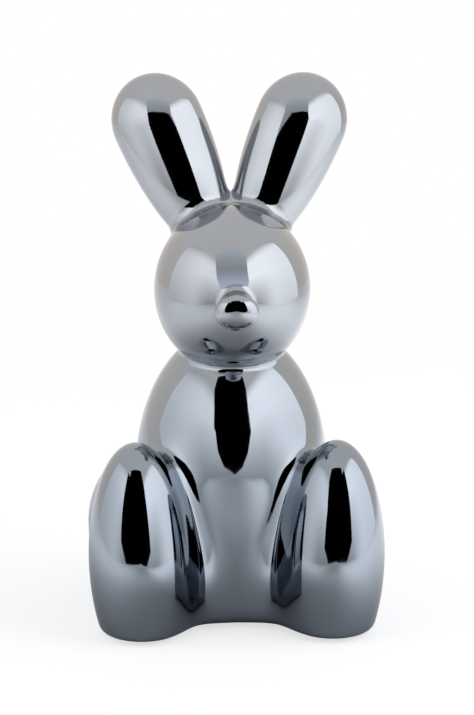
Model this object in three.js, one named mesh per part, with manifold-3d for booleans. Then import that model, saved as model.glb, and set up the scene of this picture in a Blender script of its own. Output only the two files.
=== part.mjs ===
// Seated rabbit ornament in the balloon-animal style, slip cast in pieces and glazed as a mirror.
// Millimetres, +Z up. The rabbit looks along -Y, its own left is +X, and it stands on z = 0
// with the origin on the ground under the middle of its box.
import * as THREE from 'three';
import { mergeVertices } from 'three/addons/utils/BufferGeometryUtils.js';
import Module from 'manifold-3d';

const wasm = await Module();
wasm.setup();

// Driving dimensions of the castings. Each lobe is an egg round its widest level: half its
// width and depth there, its rise above and its drop below. Heights count from the foot.
// A depth or a rise left out equals half the width, and a drop left out equals the rise.
// Nose and ears are placed from the head's centre, so they go where the head goes. A heart
// is how far under the widest level a long lobe has its middle.
const torso = { y: -2, z: 65.5, halfWidth: 46.8, halfDepth: 45, rise: 70.5, drop: 220, lean: -2.3 };
const head = { y: -8, z: 156, halfWidth: 37.6, halfDepth: 37, rise: 40.8 };
const leg = { x: 46, y: -50.7, z: 33, halfWidth: 24.2, halfDepth: 26, rise: 57, lean: -6, splay: 2 };
const haunch = { x: 40.4, y: 16, z: 35, halfWidth: 30, rise: 36, drop: 55 };
const tail = { y: 52, z: 36, halfWidth: 17 };
const nose = { ahead: 43.5, below: 3, halfWidth: 10.4, halfDepth: 6.5, rise: 8.9, lean: 14 };
const noseStalk = { radius: 7.8, length: 14 };
const ear = { out: 34.7, behind: 24, above: 77.7, halfWidth: 22.1, halfDepth: 16.5, rise: 23.7, drop: 69, heart: 20, lean: -12, splay: 24 };

// Width of the soft fillet where one lobe runs into the next.
const fillet = { neck: 5, ear: 6, nose: 2.5, haunch: 10, leg: 15, tail: 5, foot: 4 };

// Slip line between two castings, and the glue line above a felt pad.
const jointGap = 0.3;
const felt = { thickness: 1.2, legRadius: 12, haunchRadius: 10, sides: 40 };
const vent = { radius: 6, depth: 5, y: 6, sides: 32 };

// Steps along one edge of the icosahedron that each casting's surface starts from.
const edgeSteps = { torso: 12, head: 10, leg: 8, haunch: 7, ear: 8, nose: 4, tail: 4 };

const glaze = { color: 0x5d6672, roughness: 0.06, metalness: 1 };
const feltCloth = { color: 0x2b2d31, roughness: 0.95, metalness: 0 };

const up = new THREE.Vector3(0, 0, 1);
const reach = 160; // longer than any way out of a casting
const overrun = 8; // how far a casting's rough skin runs past its joint faces before the cut
const marchStep = 1.5;
const halvings = 22;
const creaseSteps = 48;
const flankSteps = 90;
const flankClearance = 2;
const spaceSize = 800; // edge of the block that stands for the half space behind a joint face

function lobeOf({ x = 0, y = 0, z, halfWidth, ...size }) {
  const { halfDepth = halfWidth, rise = halfWidth, drop = rise, lean = 0, splay = 0, heart = 0 } = size;
  const centre = new THREE.Vector3(x, y, z);
  const angles = [THREE.MathUtils.degToRad(lean), THREE.MathUtils.degToRad(splay), 0];
  const turn = new THREE.Quaternion().setFromEuler(new THREE.Euler(...angles, 'ZYX'));
  const start = new THREE.Vector3(0, 0, -heart).applyQuaternion(turn).add(centre);
  const proportions = new THREE.Vector3(halfWidth, halfDepth, rise + heart);
  return { centre, halfWidth, halfDepth, rise, drop, turn, unturn: turn.clone().invert(), start, proportions };
}

const lobes = {
  torso: lobeOf(torso),
  head: lobeOf(head),
  leg: lobeOf(leg),
  haunch: lobeOf(haunch),
  tail: lobeOf(tail),
  nose: lobeOf({ ...nose, y: head.y - nose.ahead, z: head.z - nose.below }),
  ear: lobeOf({ ...ear, x: ear.out, y: head.y + ear.behind, z: head.z + ear.above }),
};

// Signed distance to an egg, good near its surface: negative inside.
function eggDistance(point, lobe) {
  const local = point.clone().sub(lobe.centre).applyQuaternion(lobe.unturn);
  const height = local.z > 0 ? lobe.rise : lobe.drop;
  const x = local.x / lobe.halfWidth;
  const y = local.y / lobe.halfDepth;
  const z = local.z / height;
  const level = Math.hypot(x, y, z);
  const slope = Math.hypot(x / lobe.halfWidth, y / lobe.halfDepth, z / height);
  return slope > 0 ? (level * (level - 1)) / slope : -Math.min(lobe.halfWidth, height);
}

// The stalk runs from the nose's lip back into the head, along the nose's own axis.
const stalkAxis = new THREE.Vector3(0, 1, 0).applyQuaternion(lobes.nose.turn);
const stalkStart = lobes.nose.centre.clone().addScaledVector(stalkAxis, nose.halfDepth / 2);
const stalkEnd = lobes.nose.centre.clone().addScaledVector(stalkAxis, noseStalk.length);
const stalkLine = new THREE.Line3(stalkStart, stalkEnd);

function noseDistance(point) {
  const nearest = stalkLine.closestPointToPoint(point, true, new THREE.Vector3());
  return blend(eggDistance(point, lobes.nose), nearest.distanceTo(point) - noseStalk.radius, fillet.nose);
}

// Smooth union of two distances, with a fillet of the given width.
function blend(a, b, width) {
  const share = Math.max(width - Math.abs(a - b), 0) / width;
  return Math.min(a, b) - (share * share * width) / 4;
}

// The whole figure, the same on both sides of x = 0, with a flat foot at z = 0.
function figureDistance(place) {
  const point = new THREE.Vector3(Math.abs(place.x), place.y, place.z);
  const opposite = new THREE.Vector3(-point.x, place.y, place.z);
  const ears = blend(eggDistance(point, lobes.ear), eggDistance(opposite, lobes.ear), fillet.ear);
  const skull = blend(eggDistance(point, lobes.head), ears, fillet.ear);
  const face = blend(skull, noseDistance(point), fillet.nose);
  let figure = blend(eggDistance(point, lobes.torso), face, fillet.neck);
  figure = blend(figure, eggDistance(point, lobes.haunch), fillet.haunch);
  figure = blend(figure, eggDistance(point, lobes.leg), fillet.leg);
  figure = blend(figure, eggDistance(point, lobes.tail), fillet.tail);
  return -blend(-figure, point.z, fillet.foot);
}

// Halve the span between an inside and an outside value until they meet.
function meet(inside, outside, isInside) {
  for (let i = 0; i < halvings; i++) {
    const middle = (inside + outside) / 2;
    if (isInside(middle)) inside = middle;
    else outside = middle;
  }
  return (inside + outside) / 2;
}

// Straight way from a start inside to the first place outside.
function wayOut(start, direction, isInside) {
  const at = (way) => start.clone().addScaledVector(direction, way);
  let way = marchStep;
  while (way < reach && isInside(at(way))) way += marchStep;
  if (way >= reach) return reach;
  return meet(way - marchStep, way, (middle) => isInside(at(middle)));
}

const inFigure = (point) => figureDistance(point) < 0;

// Past a joint face a casting goes on a little as a straight prism, so the cut there is clean.
function inCasting(point, faces) {
  const place = point.clone();
  for (const face of faces) {
    const depth = place.clone().sub(face.point).dot(face.normal);
    if (depth < -overrun) return false;
    if (depth < 0) place.addScaledVector(face.normal, -depth);
  }
  return inFigure(place);
}

// Closed skin around a lobe's centre: an icosahedral ball, drawn out to the figure's skin.
function skinAround(centre, turn, proportions, steps, faces) {
  const ball = new THREE.IcosahedronGeometry(1, steps);
  ball.deleteAttribute('normal');
  ball.deleteAttribute('uv');
  const skin = mergeVertices(ball);
  const position = skin.attributes.position;
  const onSkin = (direction) => {
    const way = wayOut(centre, direction, (point) => inCasting(point, faces));
    return centre.clone().addScaledVector(direction, way);
  };
  const directions = [];
  for (let i = 0; i < position.count; i++) {
    const place = new THREE.Vector3().fromBufferAttribute(position, i);
    directions.push(place.multiply(proportions).applyQuaternion(turn).normalize());
  }
  const points = directions.map(onSkin);
  settleOnRims(points, directions, skin.index.array, faces, onSkin);
  points.forEach((point, i) => position.setXYZ(i, point.x, point.y, point.z));
  return skin;
}

// Where an edge of the skin crosses a joint face, its nearer end moves onto the joint's rim.
function settleOnRims(points, directions, corners, faces, onSkin) {
  const isOwn = (point) => faces.every((face) => point.clone().sub(face.point).dot(face.normal) > 0);
  const own = points.map(isOwn);
  const nearest = new Map();
  for (let i = 0; i < corners.length; i++) {
    const from = corners[i];
    const to = corners[i % 3 === 2 ? i - 2 : i + 1];
    if (!own[from] || own[to]) continue;
    const between = (share) => onSkin(directions[from].clone().lerp(directions[to], share).normalize());
    const rim = meet(0, 1, (share) => isOwn(between(share)));
    const mover = rim < 0.5 ? from : to;
    const move = Math.min(rim, 1 - rim);
    if (move < (nearest.get(mover)?.move ?? 1)) nearest.set(mover, { move, point: between(rim) });
  }
  nearest.forEach(({ point }, mover) => points[mover].copy(point));
}

function solidOf(geometry) {
  const bare = geometry.clone();
  bare.deleteAttribute('normal');
  bare.deleteAttribute('uv');
  const merged = mergeVertices(bare);
  const triVerts = new Uint32Array(merged.index.array);
  const vertProperties = merged.attributes.position.array;
  return new wasm.Manifold(new wasm.Mesh({ numProp: 3, vertProperties, triVerts }));
}

function geometryOf(solid) {
  const mesh = solid.getMesh();
  const geometry = new THREE.BufferGeometry();
  geometry.setAttribute('position', new THREE.BufferAttribute(mesh.vertProperties, 3));
  geometry.setIndex(new THREE.BufferAttribute(mesh.triVerts, 1));
  return geometry;
}

// Everything on the far side of a joint face, moved along the face's normal by a shift.
function spaceBeyond(face, shift) {
  const block = new THREE.BoxGeometry(spaceSize, spaceSize, spaceSize);
  block.translate(0, 0, spaceSize / 2 + shift);
  block.applyQuaternion(new THREE.Quaternion().setFromUnitVectors(up, face.normal));
  block.translate(face.point.x, face.point.y, face.point.z);
  return solidOf(block);
}

// Joint faces. The crease where lobe B enters lobe A is followed round B.
function creaseLoop(lobeA, distanceToA, lobeB) {
  const inward = lobeA.centre.clone().sub(lobeB.centre).normalize();
  const side = up.clone().cross(inward);
  if (side.lengthSq() < 0.01) side.set(1, 0, 0);
  side.normalize();
  const other = inward.clone().cross(side).normalize();
  const loop = [];
  for (let i = 0; i < creaseSteps; i++) {
    const around = (2 * Math.PI * i) / creaseSteps;
    const outward = side.clone().multiplyScalar(Math.cos(around)).addScaledVector(other, Math.sin(around));
    const pointAt = (swing) => {
      const direction = inward.clone().multiplyScalar(Math.cos(swing)).addScaledVector(outward, Math.sin(swing));
      const way = wayOut(lobeB.centre, direction, (place) => eggDistance(place, lobeB) < 0);
      return lobeB.centre.clone().addScaledVector(direction, way);
    };
    loop.push(pointAt(meet(0, Math.PI, (swing) => distanceToA(pointAt(swing)) < 0)));
  }
  return loop.filter((corner) => corner.z > 0);
}

// The flat face that lies closest to the crease, with its normal pointing into B.
function jointFace(lobeA, distanceToA, lobeB) {
  const loop = creaseLoop(lobeA, distanceToA, lobeB);
  const point = new THREE.Vector3();
  const normal = new THREE.Vector3();
  loop.forEach((corner, i) => {
    const next = loop[(i + 1) % loop.length];
    point.addScaledVector(corner, 1 / loop.length);
    normal.add(corner.clone().cross(next));
  });
  normal.normalize();
  if (normal.dot(lobeB.centre) < normal.dot(lobeA.centre)) normal.negate();
  return { point, normal };
}

const reversed = (face) => ({ point: face.point, normal: face.normal.clone().negate() });
const mirroredFace = (face) => ({
  point: face.point.clone().multiply(new THREE.Vector3(-1, 1, 1)),
  normal: face.normal.clone().multiply(new THREE.Vector3(-1, 1, 1)),
});

const toTorso = (point) => eggDistance(point, lobes.torso);
const toLeg = (point) => eggDistance(point, lobes.leg);
const neckFace = jointFace(lobes.torso, toTorso, lobes.head);

// A limb's face keeps the line of its crease on the ground, and leans out far enough to
// clear the torso's flank above the limb.
function limbFace(lobe) {
  const crease = jointFace(lobes.torso, toTorso, lobe);
  const across = crease.normal.clone().setZ(0).normalize();
  const lift = crease.point.z * (crease.normal.z / Math.hypot(crease.normal.x, crease.normal.y));
  const point = crease.point.clone().setZ(0).addScaledVector(across, lift);
  const height = lobe.centre.z + lobe.rise;
  let flank = 0;
  for (let i = 0; i < flankSteps; i++) {
    const around = (2 * Math.PI * i) / flankSteps;
    const direction = new THREE.Vector3(Math.cos(around), Math.sin(around), 0);
    const start = new THREE.Vector3(0, 0, height);
    const way = wayOut(start, direction, (place) => toTorso(place) < 0);
    flank = Math.max(flank, start.addScaledVector(direction, way).sub(point).dot(across));
  }
  const normal = across.clone().setZ(-(flank + flankClearance) / height).normalize();
  return { point, normal };
}

const legFace = limbFace(lobes.leg);
const haunchFace = limbFace(lobes.haunch);

// Leg and haunch meet on a face through the line that both of their torso faces share.
function hipJointFace() {
  const line = legFace.normal.clone().cross(haunchFace.normal).normalize();
  const across = line.clone().cross(legFace.normal);
  const gap = haunchFace.point.clone().sub(legFace.point).dot(haunchFace.normal);
  const point = legFace.point.clone().addScaledVector(across, gap / across.dot(haunchFace.normal));
  const normal = jointFace(lobes.leg, toLeg, lobes.haunch).normal;
  normal.addScaledVector(line, -normal.dot(line)).normalize();
  return { point, normal };
}

const hipFace = hipJointFace();

const toHead = (point) => eggDistance(point, lobes.head);
const earFace = jointFace(lobes.head, toHead, lobes.ear);
const middleFace = { point: new THREE.Vector3(), normal: new THREE.Vector3(1, 0, 0) };

// The nose's face is square to its stalk, just clear of the head's skin.
function noseJointFace() {
  const outward = stalkAxis.clone().negate();
  const way = wayOut(stalkEnd, outward, (place) => eggDistance(place, lobes.head) < 0);
  const point = stalkEnd.clone().addScaledVector(outward, way + fillet.nose / 2);
  return { point, normal: outward };
}

const noseFace = noseJointFace();

// The tail's face goes through the outermost point of its crease, square to the crease's axis.
function tailJointFace() {
  const { normal } = jointFace(lobes.torso, toTorso, lobes.tail);
  const heights = creaseLoop(lobes.torso, toTorso, lobes.tail).map((corner) => corner.dot(normal));
  const point = normal.clone().multiplyScalar(Math.max(...heights));
  return { point, normal };
}

const tailFace = tailJointFace();

const bothSides = (faces) => [...faces, ...faces.map(mirroredFace)];
const spaces = {
  torso: [reversed(neckFace), reversed(tailFace), ...bothSides([legFace, haunchFace].map(reversed))],
  head: [neckFace, reversed(noseFace), ...bothSides([reversed(earFace)])],
  ear: [earFace, middleFace],
  nose: [noseFace],
  leg: [legFace, reversed(hipFace)],
  haunch: [haunchFace, hipFace],
  tail: [tailFace],
};

// A casting fills its own space, drawn back from each joint face by half the joint gap.
function casting(centre, turn, proportions, steps, faces) {
  const skin = solidOf(skinAround(centre, turn, proportions, steps, faces));
  return faces.reduce((rest, face) => rest.intersect(spaceBeyond(face, jointGap / 2)), skin);
}

function eggCasting(name) {
  const { start, turn, proportions } = lobes[name];
  return casting(start, turn, proportions, edgeSteps[name], spaces[name]);
}

// Opening that lets the air out of the casting in the kiln, seen under the foot.
function ventPlug() {
  const plug = new THREE.CylinderGeometry(vent.radius, vent.radius, vent.depth * 2, vent.sides);
  plug.rotateX(Math.PI / 2);
  plug.translate(0, vent.y, 0);
  return solidOf(plug);
}

function feltPad(radius, x, y) {
  const disc = new THREE.CylinderGeometry(radius, radius, felt.thickness, felt.sides);
  disc.rotateX(Math.PI / 2);
  disc.translate(x, y, felt.thickness / 2);
  disc.deleteAttribute('normal');
  disc.deleteAttribute('uv');
  return mergeVertices(disc);
}

// The right side is the left side mirrored, with its triangles turned to face outward again.
function mirrored(geometry) {
  const other = geometry.clone();
  other.scale(-1, 1, 1);
  const order = other.index.array;
  for (let i = 0; i < order.length; i += 3) {
    [order[i], order[i + 1]] = [order[i + 1], order[i]];
  }
  return other;
}

const glazed = (name) => new THREE.MeshStandardMaterial({ ...glaze, name: `${name}_glaze` });
const felted = (name) => new THREE.MeshStandardMaterial({ ...feltCloth, name: `${name}_cloth` });

function named(name, geometry, material) {
  geometry.computeVertexNormals();
  const mesh = new THREE.Mesh(geometry, material(name));
  mesh.name = name;
  return mesh;
}

function addPair(parent, name, geometry, material) {
  parent.add(named(`${name}_left`, geometry, material));
  parent.add(named(`${name}_right`, mirrored(geometry), material));
}

// The castings stand on the felt pads, so their group is raised by the pads' height.
const castings = new THREE.Group();
castings.position.z = felt.thickness + jointGap;
castings.add(named('torso', geometryOf(eggCasting('torso').subtract(ventPlug())), glazed));
castings.add(named('head', geometryOf(eggCasting('head')), glazed));
castings.add(named('nose', geometryOf(eggCasting('nose')), glazed));
castings.add(named('tail', geometryOf(eggCasting('tail')), glazed));
addPair(castings, 'ear', geometryOf(eggCasting('ear')), glazed);
addPair(castings, 'leg', geometryOf(eggCasting('leg')), glazed);
addPair(castings, 'haunch', geometryOf(eggCasting('haunch')), glazed);

const rabbit = new THREE.Group();
rabbit.add(castings);
addPair(rabbit, 'front_pad', feltPad(felt.legRadius, leg.x, leg.y), felted);
addPair(rabbit, 'rear_pad', feltPad(felt.haunchRadius, haunch.x + felt.haunchRadius / 2, haunch.y), felted);

// The castings were worked out around the torso's axis, and the part is centred on its own depth.
const centre = new THREE.Box3().setFromObject(rabbit).getCenter(new THREE.Vector3());
rabbit.position.y = -centre.y;

export default rabbit;
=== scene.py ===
import math

import bmesh
import bpy
import numpy as np
from mathutils import Matrix, Vector


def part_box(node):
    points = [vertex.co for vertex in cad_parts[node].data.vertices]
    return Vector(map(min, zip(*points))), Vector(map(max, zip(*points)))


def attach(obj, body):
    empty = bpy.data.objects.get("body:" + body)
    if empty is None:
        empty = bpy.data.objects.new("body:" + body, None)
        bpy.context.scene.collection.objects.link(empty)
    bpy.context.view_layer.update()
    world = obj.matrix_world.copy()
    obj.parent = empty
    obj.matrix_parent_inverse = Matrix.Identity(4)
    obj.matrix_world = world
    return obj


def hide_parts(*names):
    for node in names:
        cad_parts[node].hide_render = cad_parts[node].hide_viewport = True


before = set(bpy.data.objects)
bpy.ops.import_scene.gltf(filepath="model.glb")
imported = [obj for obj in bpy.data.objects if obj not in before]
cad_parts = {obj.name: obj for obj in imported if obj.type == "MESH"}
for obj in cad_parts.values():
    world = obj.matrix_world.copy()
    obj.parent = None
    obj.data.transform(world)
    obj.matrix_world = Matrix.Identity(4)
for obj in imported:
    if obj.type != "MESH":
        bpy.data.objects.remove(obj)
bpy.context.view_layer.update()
mm = 0.001  # shapes are worked out in millimetres and scaled to metres at the end
degree = math.pi / 180
print("frame loaded:", len(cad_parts), "nodes")

# The figure is egg-shaped lobes that run into each other with soft fillets. place is the middle
# of a lobe's widest level, half is its half width and half depth there, and rise and drop are
# its heights above and below that level. Millimetres and degrees.
torso = {"place": (0, -2, 65.5), "half": (46.8, 45), "rise": 70.5, "drop": 220, "lean": -2.3}
head = {"place": (0, -8, 156), "half": (37.6, 37), "rise": 40.8}
leg = {"place": (46, -50.7, 33), "half": (24.2, 26), "rise": 57, "lean": -6, "splay": 2}
haunch = {"place": (40.4, 16, 35), "half": (30, 30), "rise": 36, "drop": 55}
tail = {"place": (0, 52, 36), "half": (17, 17), "rise": 17}
# Nose and ears are placed from the middle of the head.
nose = {
    "ahead": 43.5,
    "below": 3,
    "half": (10.4, 6.5),
    "rise": 8.9,
    "lean": 14,
    "stalkRadius": 7.8,
    "stalkLength": 14,
}
ear = {
    "out": 34.7,
    "behind": 24,
    "above": 77.7,
    "half": (22.1, 16.5),
    "rise": 23.7,
    "drop": 69,
    "heart": 20,  # how far under its widest level the ear is drawn out from
    "lean": -12,
    "splay": 24,
}
fillet = {"neck": 3, "ear": 6, "nose": 2.5, "haunch": 10, "leg": 15, "tail": 5, "foot": 4}
# Below this height the fillets between torso and front legs widen towards the ground. They do so
# from the middle out to this distance, where the widening fades.
footFlare = {"width": 16, "height": 60, "ease": 0.3, "outer": 43, "fade": 16}


def eggOf(place, half, rise, drop=None, lean=0, splay=0, heart=0):
    splayed, leant = Matrix.Rotation(splay * degree, 3, "Y"), Matrix.Rotation(lean * degree, 3, "X")
    turn = np.array(splayed @ leant)
    heights = (rise, rise if drop is None else drop, rise + heart)
    above, below, proportions = [np.array((*half, height), float) for height in heights]
    centre = np.array(place, float)
    return {
        "centre": centre,
        "turn": turn,
        "above": above,
        "below": below,
        "start": centre - turn @ (0, 0, heart),
        "proportions": proportions,
    }


lobes = {"torso": torso, "head": head, "leg": leg, "haunch": haunch, "tail": tail}
eggs = {name: eggOf(**lobe) for name, lobe in lobes.items()}
_, headY, headZ = head["place"]
nosePlace = (0, headY - nose["ahead"], headZ - nose["below"])
eggs["nose"] = eggOf(nosePlace, nose["half"], nose["rise"], lean=nose["lean"])
earPlace = (ear["out"], headY + ear["behind"], headZ + ear["above"])
earSizes = {name: ear[name] for name in ("half", "rise", "drop", "lean", "splay", "heart")}
eggs["ear"] = eggOf(earPlace, **earSizes)
stalkAxis = eggs["nose"]["turn"] @ np.array((0, 1, 0))
stalkStart = eggs["nose"]["centre"] + stalkAxis * nose["half"][1] / 2
stalkEnd = eggs["nose"]["centre"] + stalkAxis * nose["stalkLength"]
leastDivisor = 1e-9


def rowDot(a, b):
    return np.einsum("ij,ij->i", a, b)


def lengthOf(rows):
    return np.sqrt(rowDot(rows, rows))


def eggDistance(points, egg):
    local = (points - egg["centre"]) @ egg["turn"]
    half = np.where(local[:, 2:] > 0, egg["above"], egg["below"])
    share = local / half
    level = lengthOf(share)
    return level * (level - 1) / np.maximum(lengthOf(share / half), leastDivisor)


def capsuleDistance(points, start, end, radius):
    axis = end - start
    along = np.clip((points - start) @ axis / (axis @ axis), 0, 1)
    return lengthOf(points - start - along[:, None] * axis) - radius


def blend(a, b, width):
    share = np.maximum(width - np.abs(a - b), 0) / width
    return np.minimum(a, b) - share * share * width / 4


def noseDistance(points):
    stalk = capsuleDistance(points, stalkStart, stalkEnd, nose["stalkRadius"])
    return blend(eggDistance(points, eggs["nose"]), stalk, fillet["nose"])


def smoothStep(share):
    share = np.clip(share, 0, 1)
    return share * share * (3 - 2 * share)


def easedRise(share, ease):
    share = np.clip(share, 0, 1)
    return np.where(share < ease, share * share / (2 * ease), share - ease / 2) / (1 - ease / 2)


def legFillet(points):
    low = easedRise(1 - points[:, 2] / footFlare["height"], footFlare["ease"])
    inward = smoothStep((footFlare["outer"] - points[:, 0]) / footFlare["fade"])
    return fillet["leg"] + footFlare["width"] * low * inward * (points[:, 1] < 0)


def figureDistance(points):
    near = points.copy()  # both sides are alike, so the left one is worked out
    near[:, 0] = np.abs(near[:, 0])
    otherEar = eggDistance(near * (-1, 1, 1), eggs["ear"])
    ears = blend(eggDistance(near, eggs["ear"]), otherEar, fillet["ear"])
    figure = blend(eggDistance(near, eggs["head"]), ears, fillet["ear"])
    figure = blend(figure, noseDistance(near), fillet["nose"])
    figure = blend(eggDistance(near, eggs["torso"]), figure, fillet["neck"])
    figure = blend(figure, eggDistance(near, eggs["haunch"]), fillet["haunch"])
    figure = blend(figure, eggDistance(near, eggs["leg"]), legFillet(near))
    figure = blend(figure, eggDistance(near, eggs["tail"]), fillet["tail"])
    return -blend(-figure, near[:, 2], fillet["foot"])


def figureSlope(points, reach=0.03):
    corners = np.array(((1, -1, -1), (-1, -1, 1), (-1, 1, -1), (1, 1, 1)), float)
    rises = [corner * figureDistance(points + corner * reach)[:, None] for corner in corners]
    return sum(rises) / (4 * reach)


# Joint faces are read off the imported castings: the large flat faces that two of them share.
jointSearch = {
    "normalDigits": 2,
    "levelDigits": 1,
    "leastArea": 60,
    "leastGap": 0.1,
    "mostGap": 0.6,
    "facing": -0.999,
    "alike": 0.99,
}
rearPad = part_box("rear_pad_left")
depthShift = (rearPad[0].y + rearPad[1].y) / 2 / mm - haunch["place"][1]
# The way from the lobes' own origin to the frame's.
atHome = np.array((0, depthShift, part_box("torso")[0].z / mm))


def flatFaces(node):
    groups = {}
    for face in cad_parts[node].data.polygons:
        normal = np.array(face.normal)
        centre = np.array(face.center) / mm
        area = face.area / mm**2
        level = round(float(centre @ normal), jointSearch["levelDigits"])
        key = (*np.round(normal, jointSearch["normalDigits"]), level)
        total = groups.setdefault(key, [0, np.zeros(3), np.zeros(3)])
        total[0] += area
        total[1] += area * centre
        total[2] += area * normal
    large = [total for total in groups.values() if total[0] > jointSearch["leastArea"]]
    return [
        (centres / area - atHome, normals / np.linalg.norm(normals))
        for area, centres, normals in large
    ]


def addJoint(node, point, normal):
    for place, inward in joints[node]:
        apart = abs((point - place) @ inward)
        if normal @ inward > jointSearch["alike"] and apart < jointSearch["mostGap"]:
            return
    joints[node].append((point, normal))


limbs = [f"{limb}_{side}" for side in ("left", "right") for limb in ("ear", "leg", "haunch")]
castings = ["torso", "head", "nose", "tail", *limbs]
flats = {node: flatFaces(node) for node in castings}
joints = {node: [] for node in castings}  # a point on each joint face, and the normal inward
for i, node in enumerate(castings):
    for other in castings[i + 1 :]:
        for point, normal in flats[node]:
            for otherPoint, otherNormal in flats[other]:
                gap = float((otherPoint - point) @ normal)
                met = jointSearch["leastGap"] < gap < jointSearch["mostGap"]
                if met and normal @ otherNormal < jointSearch["facing"]:
                    addJoint(node, point + normal * gap / 2, -normal)
                    addJoint(other, point + normal * gap / 2, normal)
# The ears' roots meet on the middle plane, in a face too small for that search.
joints["ear_left"].append((np.zeros(3), np.array((1.0, 0, 0))))
print("joint faces:", {node: len(faces) for node, faces in joints.items()})

# Camera at the photograph's angle, a little to the rabbit's right and above it.
# Angles are in degrees, the rest in millimetres.
view = {
    "turn": -2.96,
    "rise": 12,
    "distance": 1300,
    "level": 128,
    "aimRight": 2.73,
    "aimUp": -7.49,
    "lens": 134.8,
}


def directionAt(turn, rise=0):
    across = math.cos(rise * degree)
    x, y = math.sin(turn * degree) * across, -math.cos(turn * degree) * across
    return Vector((x, y, math.sin(rise * degree)))


back = directionAt(view["turn"], view["rise"])
right = Vector((0, 0, 1)).cross(back).normalized()
target = Vector(atHome) + Vector((0, 0, view["level"]))
aim = target + right * view["aimRight"] + back.cross(right) * view["aimUp"]
camera = bpy.data.objects.new("camera", bpy.data.cameras.new("camera"))
camera.data.lens = view["lens"]
camera.location = (target + back * view["distance"]) * mm
camera.rotation_euler = (camera.location - aim * mm).to_track_quat("Z", "Y").to_euler()
bpy.context.scene.collection.objects.link(camera)
bpy.context.scene.camera = camera

# Castings: an icosphere drawn out to the figure's skin, then cut flat at its joint faces. The
# cut's rims slide back onto the true skin, and the glaze's shading follows the skin's slope.
making = {
    "reach": 170,
    "overrun": 8,  # how far a casting goes on past its joint faces before the cut
    "step": 2,
    "halvings": 18,
    "weld": 1e-5,
    "onFace": 0.004,
    "nearSkin": 1,
    "rimPasses": 5,
    "mostMove": 0.4,
    "leastAxis": 0.1,
    "leastSlope": 0.05,
    "capFacing": -0.999,
}
subdivisions = {"torso": 7, "head": 7, "nose": 5, "tail": 5, "ear": 6, "leg": 6, "haunch": 6}
coarser = 0
# Kiln vent in the torso's foot, with the skin cleared for a margin round it.
vent = {"y": 6, "radius": 6, "depth": 5, "margin": 0.7, "lip": 0.02}


def inCasting(points, faces):
    place = points.copy()
    inside = np.ones(len(points), bool)
    for point, normal in faces:  # past a joint face the casting goes on as a prism
        depth = (place - point) @ normal
        inside &= depth > -making["overrun"]
        place -= np.minimum(depth, 0)[:, None] * normal
    return inside & (figureDistance(place) < 0)


def wayOut(centre, directions, faces):
    far = np.full(len(directions), float(making["reach"]))
    still = np.arange(len(directions))
    way = 0
    while len(still) and way < making["reach"]:
        way += making["step"]
        inside = inCasting(centre + directions[still] * way, faces)
        far[still[~inside]] = way
        still = still[inside]
    near = far - making["step"]
    for _ in range(making["halvings"]):
        middle = (near + far) / 2
        inside = inCasting(centre + directions * middle[:, None], faces)
        near = np.where(inside, middle, near)
        far = np.where(inside, far, middle)
    return (near + far) / 2


def settleRims(places, faces):
    onFace = [np.abs((places - point) @ normal) < making["onFace"] for point, normal in faces]
    rim = np.flatnonzero(np.any(onFace, axis=0))
    rim = rim[np.abs(figureDistance(places[rim])) < making["nearSkin"]]
    for _ in range(making["rimPasses"]):
        slope = figureSlope(places[rim])
        taken = []
        for (_, normal), on in zip(faces, onFace):  # a rim vertex stays on the faces it lies on
            axis = np.where(on[rim, None], normal, 0.0)
            for other in taken:
                axis = axis - rowDot(axis, other)[:, None] * other
            taken.append(axis / np.maximum(lengthOf(axis), making["leastAxis"])[:, None])
        for axis in taken:
            slope = slope - rowDot(slope, axis)[:, None] * axis
        steepness = np.maximum(rowDot(slope, slope), making["leastSlope"])
        move = -(figureDistance(places[rim]) / steepness)[:, None] * slope
        places[rim] += np.clip(move, -making["mostMove"], making["mostMove"])
    return places


def openEdges(parts):
    return [part for part in parts if isinstance(part, bmesh.types.BMEdge) and part.is_boundary]


def openVent(bm):
    middle = Vector((0, vent["y"], 0))
    cleared = vent["radius"] + vent["margin"]
    foot = [vert for vert in bm.verts if vert.co.z < vent["margin"]]
    inner = [vert for vert in foot if (vert.co - middle).length < cleared]
    bmesh.ops.delete(bm, geom=inner, context="VERTS")
    rim = [edge for edge in bm.edges if edge.is_boundary]
    for vert in {vert for edge in rim for vert in edge.verts}:
        vert.co = middle + (vert.co - middle).normalized() * vent["radius"]
    wall = bmesh.ops.extrude_edge_only(bm, edges=rim)["geom"]
    wallTop = [part for part in wall if isinstance(part, bmesh.types.BMVert)]
    bmesh.ops.translate(bm, verts=wallTop, vec=(0, 0, vent["depth"]))
    bmesh.ops.holes_fill(bm, edges=openEdges(wall))


def castingMesh(egg, steps, faces, vented=False):
    centre, turn, proportions = egg["start"], egg["turn"], egg["proportions"]
    bm = bmesh.new()
    bmesh.ops.create_icosphere(bm, subdivisions=steps, radius=1)
    directions = (np.array([vert.co for vert in bm.verts]) * proportions) @ turn.T
    directions /= lengthOf(directions)[:, None]
    points = centre + directions * wayOut(centre, directions, faces)[:, None]
    for vert, point in zip(bm.verts, points):
        vert.co = point
    for point, normal in faces:
        cut = bmesh.ops.bisect_plane(
            bm,
            geom=bm.verts[:] + bm.edges[:] + bm.faces[:],
            dist=making["weld"],
            plane_co=point,
            plane_no=normal,
            clear_inner=True,
        )
        bmesh.ops.holes_fill(bm, edges=openEdges(cut["geom_cut"]))
    places = settleRims(np.array([vert.co for vert in bm.verts]), faces)
    for vert, place in zip(bm.verts, places):
        vert.co = place
    if vented:
        openVent(bm)
    bmesh.ops.triangulate(bm, faces=[face for face in bm.faces if len(face.verts) > 4])
    bmesh.ops.recalc_face_normals(bm, faces=bm.faces[:])
    return bm


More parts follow.
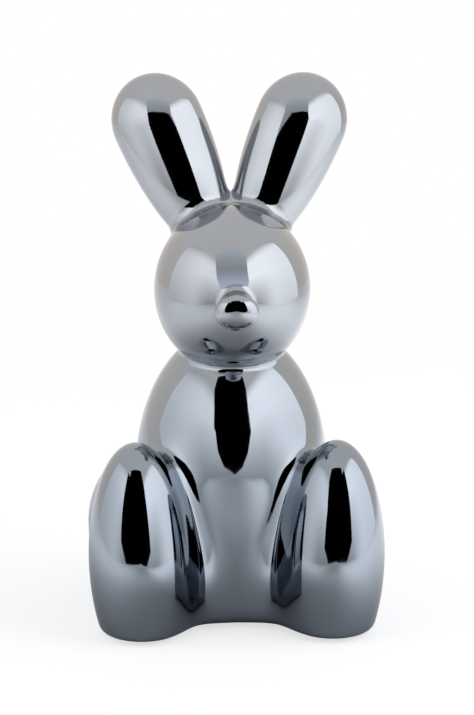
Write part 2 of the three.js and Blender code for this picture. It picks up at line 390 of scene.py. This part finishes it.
def onJoint(face, centre, point, normal):
    level = abs((centre - Vector(point)).dot(Vector(normal)))
    return level < making["onFace"] and face.normal.dot(Vector(normal)) < making["capFacing"]


def inVent(centre):
    across = max(abs(centre.x), abs(centre.y - vent["y"]))
    return across < vent["radius"] and vent["lip"] < centre.z <= vent["depth"]


def flatShaded(bm, faces):
    flat = []
    for face in bm.faces:
        centre = face.calc_center_median()
        if inVent(centre) or any(onJoint(face, centre, *joint) for joint in faces):
            flat.append(face.index)
    return flat


def addObject(name, mesh):
    added = bpy.data.objects.new(name, mesh)
    bpy.context.scene.collection.objects.link(added)
    return added


def addCasting(name, bm, faces, side=1):
    bm.faces.index_update()
    bm.verts.index_update()
    flat = flatShaded(bm, faces)
    skin = figureSlope(np.array([vert.co for vert in bm.verts]))
    skin /= lengthOf(skin)[:, None]
    bmesh.ops.translate(bm, verts=bm.verts[:], vec=atHome)
    bmesh.ops.scale(bm, verts=bm.verts[:], vec=(side * mm, mm, mm))
    if side < 0:
        bmesh.ops.reverse_faces(bm, faces=bm.faces[:])
        skin = skin * (-1, 1, 1)
    mesh = bpy.data.meshes.new(name)
    bm.to_mesh(mesh)
    mesh.shade_smooth()
    own = [tuple(skin[loop.vertex_index]) for loop in mesh.loops]
    for index in flat:
        face = mesh.polygons[index]
        for loop in face.loop_indices:
            own[loop] = tuple(face.normal)
    mesh.normals_split_custom_set(own)
    return addObject(name, mesh)


pieces = {}
for name, steps in subdivisions.items():
    paired = f"{name}_left" in joints
    node = f"{name}_left" if paired else name
    casting = castingMesh(eggs[name], steps - coarser, joints[node], vented=name == "torso")
    if paired:
        twin = f"{name}_right"
        pieces[twin] = addCasting(f"glazed_{twin}", casting.copy(), joints[node], side=-1)
    pieces[node] = addCasting(f"glazed_{node}", casting, joints[node])
    casting.free()
    print("casting", name, len(pieces[node].data.polygons), "faces")

# Felt pads under the four feet, with a small round at the rims.
padding = {"sides": 96, "round": 0.35, "roundSteps": 4, "glueLine": 0.02, "level": 1e-6}
for node in ("front_pad_left", "front_pad_right", "rear_pad_left", "rear_pad_right"):
    low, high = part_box(node)
    radius = (high.x - low.x) / 2
    height = (atHome[2] - padding["glueLine"]) * mm
    middle = ((low.x + high.x) / 2, (low.y + high.y) / 2, height / 2)
    bm = bmesh.new()
    bmesh.ops.create_cone(
        bm,
        cap_ends=True,
        segments=padding["sides"],
        radius1=radius,
        radius2=radius,
        depth=height,
    )
    bmesh.ops.translate(bm, verts=bm.verts[:], vec=middle)
    ends = [(edge, *[vert.co.z for vert in edge.verts]) for edge in bm.edges]
    bmesh.ops.bevel(
        bm,
        geom=[edge for edge, startZ, endZ in ends if abs(startZ - endZ) < padding["level"]],
        offset=padding["round"] * mm,
        segments=padding["roundSteps"],
        affect="EDGES",
        profile=0.5,
        material=-1,
    )
    mesh = bpy.data.meshes.new(f"felt_{node}")
    bm.to_mesh(mesh)
    bm.free()
    mesh.shade_smooth()
    pieces[node] = addObject(f"felt_{node}", mesh)
print("felt pads made")


def linear(hexColour):
    values = [int(hexColour[i : i + 2], 16) / 255 for i in (1, 3, 5)]
    return (*[v / 12.92 if v <= 0.04045 else ((v + 0.055) / 1.055) ** 2.4 for v in values], 1)


def addNode(tree, kind, inputs=(), **settings):
    node = tree.nodes.new(f"ShaderNode{kind}")
    for name, value in settings.items():
        setattr(node, name, value)
    sockets = inputs.items() if isinstance(inputs, dict) else enumerate(inputs)
    for socket, value in sockets:
        if isinstance(value, bpy.types.NodeSocket):
            tree.links.new(value, node.inputs[socket])
        else:
            node.inputs[socket].default_value = value
    return node


def newMaterial(name):
    material = bpy.data.materials.new(name)
    material.use_nodes = True
    material.node_tree.nodes.clear()
    return material, material.node_tree


soft = {"interpolation_type": "SMOOTHSTEP"}
share, first, second, mixed = 0, 6, 7, 2  # sockets of a Mix node for colours

# Earthenware under a fired metal lustre: a dark, slightly blue mirror. It was poured and dipped by
# hand, so the film swims a little and its thickness varies. Its tint is painted shade, darker low
# down. Patterns in millimetres.
glaze = {
    "low": "#9098a2",
    "high": "#a3a7ad",
    "fade": (0.07, 0.17),  # heights in metres between which low turns into high: painted shade, the mirror darker near the ground
    "films": {
        "swim": {"size": 34, "depth": 0.18, "detail": 1.0, "roughness": 0.4},
        "dip": {"size": 13, "depth": 0.035, "detail": 1.0, "roughness": 0.4},
        "skin": {"size": 5, "depth": 0.003, "detail": 2.0, "roughness": 0.5},
    },
    "swing": (0.3, 0.7),  # where most values of a film's noise lie
    "mottle": (0.95, 1.05),
    "roughness": (0.03, 0.06),
}
mirrorGlaze, tree = newMaterial("lustre_glazed_earthenware")
place = addNode(tree, "TexCoord").outputs["Object"]
films = {}
relief = {}
for name, film in glaze["films"].items():
    pattern = {"Vector": place, "Scale": 1 / (film["size"] * mm), "Detail": film["detail"]}
    pattern["Roughness"] = film["roughness"]
    films[name] = addNode(tree, "TexNoise", pattern).outputs["Fac"]
    waves = {"Height": films[name], "Strength": 1.0, "Distance": film["depth"] * mm, **relief}
    relief = {"Normal": addNode(tree, "Bump", waves).outputs["Normal"]}
height = addNode(tree, "SeparateXYZ", (place,)).outputs["Z"]
fade = addNode(tree, "MapRange", (height, *glaze["fade"], 0, 1)).outputs[0]
# Painted shade: the tint is darker towards the bottom of the figure and lighter above.
ends = {share: fade, first: linear(glaze["low"]), second: linear(glaze["high"])}
paintedShadeTint = addNode(tree, "Mix", ends, data_type="RGBA").outputs[mixed]
mottle = addNode(tree, "MapRange", (films["swim"], *glaze["swing"], *glaze["mottle"]))
mottled = {0: paintedShadeTint, "Scale": mottle.outputs[0]}
dull = addNode(tree, "MapRange", (films["skin"], *glaze["swing"], *glaze["roughness"]))
mirror = {
    "Metallic": 1.0,
    "Base Color": addNode(tree, "VectorMath", mottled, operation="SCALE").outputs[0],
    "Roughness": dull.outputs[0],
    **relief,
}
surface = addNode(tree, "BsdfPrincipled", mirror)
addNode(tree, "OutputMaterial", {"Surface": surface.outputs[0]})

# Pressed wool felt: charcoal and matt, with loose fibres about 0.4 mm apart.
felt = {
    "dark": "#232529",
    "light": "#3a3d42",
    "fibreSize": 0.4,
    "fibreHeight": 0.08,
    "fibreDetail": 4.0,
    "fibreCurl": 1.5,
    "roughness": 0.95,
    "sheen": 0.3,
}
woolFelt, tree = newMaterial("pressed_wool_felt")
place = addNode(tree, "TexCoord").outputs["Object"]
pattern = {"Vector": place, "Scale": 1 / (felt["fibreSize"] * mm)}
pattern |= {"Detail": felt["fibreDetail"], "Distortion": felt["fibreCurl"]}
fibres = addNode(tree, "TexNoise", pattern).outputs["Fac"]
ends = {share: fibres, first: linear(felt["dark"]), second: linear(felt["light"])}
nap = {"Height": fibres, "Strength": 1.0, "Distance": felt["fibreHeight"] * mm}
cloth = {
    "Base Color": addNode(tree, "Mix", ends, data_type="RGBA").outputs[mixed],
    "Roughness": felt["roughness"],
    "Sheen Weight": felt["sheen"],
    "Normal": addNode(tree, "Bump", nap).outputs["Normal"],
}
surface = addNode(tree, "BsdfPrincipled", cloth)
addNode(tree, "OutputMaterial", {"Surface": surface.outputs[0]})

for node, piece in pieces.items():
    padded = "pad" in node
    piece.data.materials.append(woolFelt if padded else mirrorGlaze)
    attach(piece, "root")
    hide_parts(node)
print("pieces placed:", len(pieces))

# Matt pale floor, nearly white to the camera. In the mirror it shows painted light and shade: a
# darker colour round the feet and in the dark gap is painted shade, and a lighter colour and glows
# further out are painted light.
# Spans in metres, out from the figure or along an axis.
floor = {
    "sides": 128,
    "radius": 1.6,
    "colour": "#b9bdc2",
    "paintedShadeNear": "#c5c7ca",
    "paintedLightAway": "#f0f2f4",
    "away": (0.09, 0.32),
    "back": (-0.05, 0.25),
    "edge": (0.35, 1.0),  # the shading ends here in an even white
    "seenGlow": 0.68,
    "farGlow": (0.7, 1),  # ahead, and behind
    "farBack": (-0.5, 0),
    # Glows near the figure that only the mirror sees are painted light: ahead, to each side and
    # behind.
    "paintedNearLights": {
        "ahead": ("distance", (0.09, 0.32), 0.2),
        "right": ("X", (0.03, 0.2), 0.72),
        "left": ("X", (-0.03, -0.25), 0.4),
        "behind": ("Y", (-0.05, 0.25), 0.1),
    },
}
bm = bmesh.new()
bmesh.ops.create_circle(bm, cap_ends=True, segments=floor["sides"], radius=floor["radius"])
mesh = bpy.data.meshes.new("floor")
bm.to_mesh(mesh)
bm.free()
floorPiece = addObject("floor", mesh)

paleFloor, tree = newMaterial("matt_pale_floor")
place = addNode(tree, "TexCoord").outputs["Object"]
distance = addNode(tree, "VectorMath", (place,), operation="LENGTH").outputs["Value"]
axes = addNode(tree, "SeparateXYZ", (place,)).outputs
along = {"distance": distance, "X": axes["X"], "Y": axes["Y"]}
rays = addNode(tree, "LightPath").outputs
kinds = (rays["Is Glossy Ray"], rays["Is Transmission Ray"])
mirrored = addNode(tree, "Math", kinds, operation="MAXIMUM").outputs[0]
near = addNode(tree, "MapRange", (distance, *floor["edge"], 1, 0), **soft).outputs[0]

# Painted shade and light in the mirror: the floor's colour there darkens round the feet and behind
# them, and lightens further out.
away = addNode(tree, "MapRange", (distance, *floor["away"], 0, 1), **soft).outputs[0]
front = addNode(tree, "MapRange", (axes["Y"], *floor["back"], 1, 0), **soft).outputs[0]
awayFromPaintedShade = addNode(tree, "Math", (away, front), operation="MULTIPLY").outputs[0]
dim, pale = linear(floor["paintedShadeNear"]), linear(floor["paintedLightAway"])
ends = {share: awayFromPaintedShade, first: dim, second: pale}
inMirror = addNode(tree, "Mix", ends, data_type="RGBA").outputs[mixed]
ends = {share: mirrored, first: linear(floor["colour"]), second: inMirror}
paper = addNode(tree, "Mix", ends, data_type="RGBA").outputs[mixed]
ends = {share: near, first: linear("#000000"), second: paper}
lit = addNode(tree, "Mix", ends, data_type="RGBA").outputs[mixed]
matt = addNode(tree, "BsdfDiffuse", {"Color": lit}).outputs[0]

# Painted light: the near glows that only the mirror sees are summed here.
paintedNearLight = 0.0
for measure, span, strength in floor["paintedNearLights"].values():
    glow = addNode(tree, "MapRange", (along[measure], *span, 0, strength), **soft).outputs[0]
    paintedNearLight = addNode(tree, "Math", (paintedNearLight, glow), operation="ADD").outputs[0]
farGlow = (axes["Y"], *floor["farBack"], *floor["farGlow"])
farGlow = addNode(tree, "MapRange", farGlow, **soft).outputs[0]
glows = {share: near, 2: farGlow, 3: paintedNearLight}  # 2 and 3 are a Mix node's plain numbers
# In the mirror the floor glows with the painted light near the figure, and as an even backdrop far
# out.
mirrorBackdropAndPaintedLight = addNode(tree, "Mix", glows).outputs[0]
seenGlow = addNode(tree, "MapRange", (near, 0, 1, 1, floor["seenGlow"])).outputs[0]
seenGlow = addNode(tree, "Math", (seenGlow, rays["Is Camera Ray"]), operation="MULTIPLY")
glow = (mirrorBackdropAndPaintedLight, mirrored, seenGlow.outputs[0])
glow = addNode(tree, "Math", glow, operation="MULTIPLY_ADD").outputs[0]
shine = addNode(tree, "Emission", {"Color": linear("#ffffff"), "Strength": glow}).outputs[0]
both = addNode(tree, "AddShader", (matt, shine)).outputs[0]
addNode(tree, "OutputMaterial", {"Surface": both})
mesh.materials.append(paleFloor)
print("floor laid")

# White room: pure white to the camera, a little warmer in the mirror and dimmer as light.
room = {"level": "#f8efe6", "overhead": "#fcf9f6", "rise": (0.1, 0.9), "asLight": 0.6}
world = bpy.data.worlds.new("white_room")
bpy.context.scene.world = world
world.use_nodes = True
tree = world.node_tree
tree.nodes.clear()
direction = addNode(tree, "TexCoord").outputs["Generated"]
skyward = addNode(tree, "SeparateXYZ", (direction,)).outputs["Z"]
rise = addNode(tree, "MapRange", (skyward, *room["rise"], 0, 1)).outputs[0]
ends = {share: rise, first: linear(room["level"]), second: linear(room["overhead"])}
inMirror = addNode(tree, "Mix", ends, data_type="RGBA").outputs[mixed]
rays = addNode(tree, "LightPath").outputs
kinds = (rays["Is Glossy Ray"], rays["Is Transmission Ray"])
mirrored = addNode(tree, "Math", kinds, operation="MAXIMUM").outputs[0]
kinds = (mirrored, rays["Is Camera Ray"])
seen = addNode(tree, "Math", kinds, operation="MAXIMUM").outputs[0]
strength = addNode(tree, "MapRange", (seen, 0, 1, room["asLight"], 1)).outputs[0]
ends = {share: rays["Is Camera Ray"], first: inMirror, second: linear("#ffffff")}
colour = addNode(tree, "Mix", ends, data_type="RGBA").outputs[mixed]
background = addNode(tree, "Background", {"Color": colour, "Strength": strength}).outputs[0]
addNode(tree, "OutputWorld", {"Surface": background})
print("room lit")

# Upright cards that only the mirror sees: two tall soft boxes beside the camera, and the dark
# room between them. facing is the turn of a card's normal from the camera, in degrees, and
# heights and distances are in metres. Up a card, its strength goes from foot (at its front edge
# and its back edge) to all of it at the heights full, and to top at topAt. outer is what is
# left of it towards the back.
lights = {
    "right": {
        "facing": 66,
        "distance": 0.62,
        "colour": "#ffffff",
        "strength": 2.1,
        "outer": 0.92,
        "foot": (0.35, 0.85),
        "full": (0.42, 0.7),
        "top": 0.45,
        "topAt": 0.97,
    },
    "left": {
        "facing": -64,
        "distance": 0.62,
        "colour": "#ffffff",
        "strength": 1.72,
        "outer": 0.75,
        "foot": (0.35, 0.75),
        "full": (0.42, 0.58),
        "top": 0.55,
        "topAt": 0.87,
    },
    "gap": {
        "facing": 0,
        "distance": 1.55,
        "colour": "#dfe6f2",
        "strength": 1.3,
        "outer": 1,
        "foot": (1, 1),
        "full": (0.1, 0.4),
        "top": 0.64,
        "topAt": 1.02,
    },
    "aboveGap": {
        "facing": 0,
        "distance": 1.55,
        "colour": "#eff2f7",
        "strength": 1.05,
        "outer": 1,
        "foot": (0.36, 0.36),
        "full": (2.4, 2.6),
        "top": 1,
        "topAt": 3,
    },
}
depthSpans = {"foot": (-0.6, -0.25), "outer": (-0.5, 0.1)}  # along Y
# Each card's light, its corners as (turn from the camera, height), and the castings that it
# shines on. The other castings see it black. With none named, it shines on all.
rounded = ("torso", "head", "haunch_left", "haunch_right", "tail")
ears = ("ear_left", "ear_right")
cards = {
    "soft_box_right": ("right", ((40, 0), (109, 0), (100, 0.8), (64, 0.97), (40, 0.97)), ()),
    "flap_right": (
        "right",
        ((25, 0), (29, 0), (40, 0.1), (40, 0.97), (27, 0.97), (24, 0.6)),
        (*rounded, *ears, "leg_right"),
    ),
    "flap_corner_right": ("right", ((29, 0), (40, 0), (40, 0.1)), ()),
    "wedge_right": (
        "right",
        ((4, 0), (15, 0), (24.8, 0.1), (24.5, 0.36), (19, 0.2), (13, 0.09)),
        rounded,
    ),
    "wedge_corner_right": ("right", ((15, 0), (25, 0), (24.8, 0.1)), (*rounded, "leg_right")),
    "soft_box_left": ("left", ((-42, 0), (-103, 0), (-96, 0.78), (-64, 0.87), (-42, 0.87)), ()),
    "flap_left": (
        "left",
        ((-23, 0), (-31, 0), (-42, 0.1), (-42, 0.87), (-31, 0.87), (-25, 0.6), (-22, 0.4)),
        (*rounded, *ears, "leg_left"),
    ),
    "flap_corner_left": ("left", ((-31, 0), (-42, 0), (-42, 0.1)), ()),
    "wedge_left": (
        "left",
        ((4, 0), (-13, 0), (-22.8, 0.1), (-22, 0.4), (-20, 0.38), (-15, 0.22), (-8, 0.1)),
        rounded,
    ),
    "wedge_corner_left": ("left", ((-13, 0), (-23, 0), (-22.8, 0.1)), (*rounded, "leg_left")),
    "dark_room": (
        "gap",
        (
            (-31, 0),
            (27, 0),
            (27, 0.9),
            (20, 1.02),
            (12, 1.06),
            (-12, 1.06),
            (-20, 1.02),
            (-31, 0.9),
        ),
        ("head",),
    ),
    "over_dark_room": (
        "aboveGap",
        (
            (-31, 0.9),
            (-20, 1.02),
            (-12, 1.06),
            (12, 1.06),
            (20, 1.02),
            (27, 0.9),
            (27, 2.9),
            (-31, 2.9),
        ),
        ("head", *ears),
    ),
}


def cardMesh(name, light, outline):
    bm = bmesh.new()
    corners = []
    for turn, height in outline:
        reach = light["distance"] / math.cos((turn - light["facing"]) * degree)
        corner = directionAt(turn + view["turn"]) * reach
        corners.append(bm.verts.new(corner + Vector((0, 0, height))))
    bm.faces.new(corners)
    bmesh.ops.triangulate(bm, faces=bm.faces[:])
    mesh = bpy.data.meshes.new(name)
    bm.to_mesh(mesh)
    bm.free()
    return mesh


def cardMaterial(name, light):
    material, tree = newMaterial(name)
    place = addNode(tree, "TexCoord").outputs["Object"]
    axes = addNode(tree, "SeparateXYZ", (place,)).outputs
    foot = (axes["Y"], *depthSpans["foot"], *light["foot"])
    foot = addNode(tree, "MapRange", foot, **soft).outputs[0]
    low = addNode(tree, "MapRange", (axes["Z"], 0, light["full"][0], foot, 1)).outputs[0]
    high = (axes["Z"], light["full"][1], light["topAt"], light["strength"])
    high = (*high, light["strength"] * light["top"])
    high = addNode(tree, "MapRange", high, **soft).outputs[0]
    depth = (axes["Y"], *depthSpans["outer"], 1, light["outer"])
    depth = addNode(tree, "MapRange", depth, **soft).outputs[0]
    strength = addNode(tree, "Math", (low, high), operation="MULTIPLY").outputs[0]
    strength = addNode(tree, "Math", (strength, depth), operation="MULTIPLY").outputs[0]
    glow = {"Color": linear(light["colour"]), "Strength": strength}
    glow = addNode(tree, "Emission", glow).outputs[0]
    addNode(tree, "OutputMaterial", {"Surface": glow})
    return material


for name, (lightName, outline, shinesOn) in cards.items():
    card = addObject(name, cardMesh(name, lights[lightName], outline))
    card.data.materials.append(cardMaterial(name, lights[lightName]))
    card.visible_camera = False
    if shinesOn:
        receivers = bpy.data.collections.new(f"{name}_lights")
        for node in shinesOn:
            receivers.objects.link(pieces[node])
        card.light_linking.receiver_collection = receivers
print("cards set:", len(cards))

bpy.context.scene.view_settings.view_transform = "Standard"
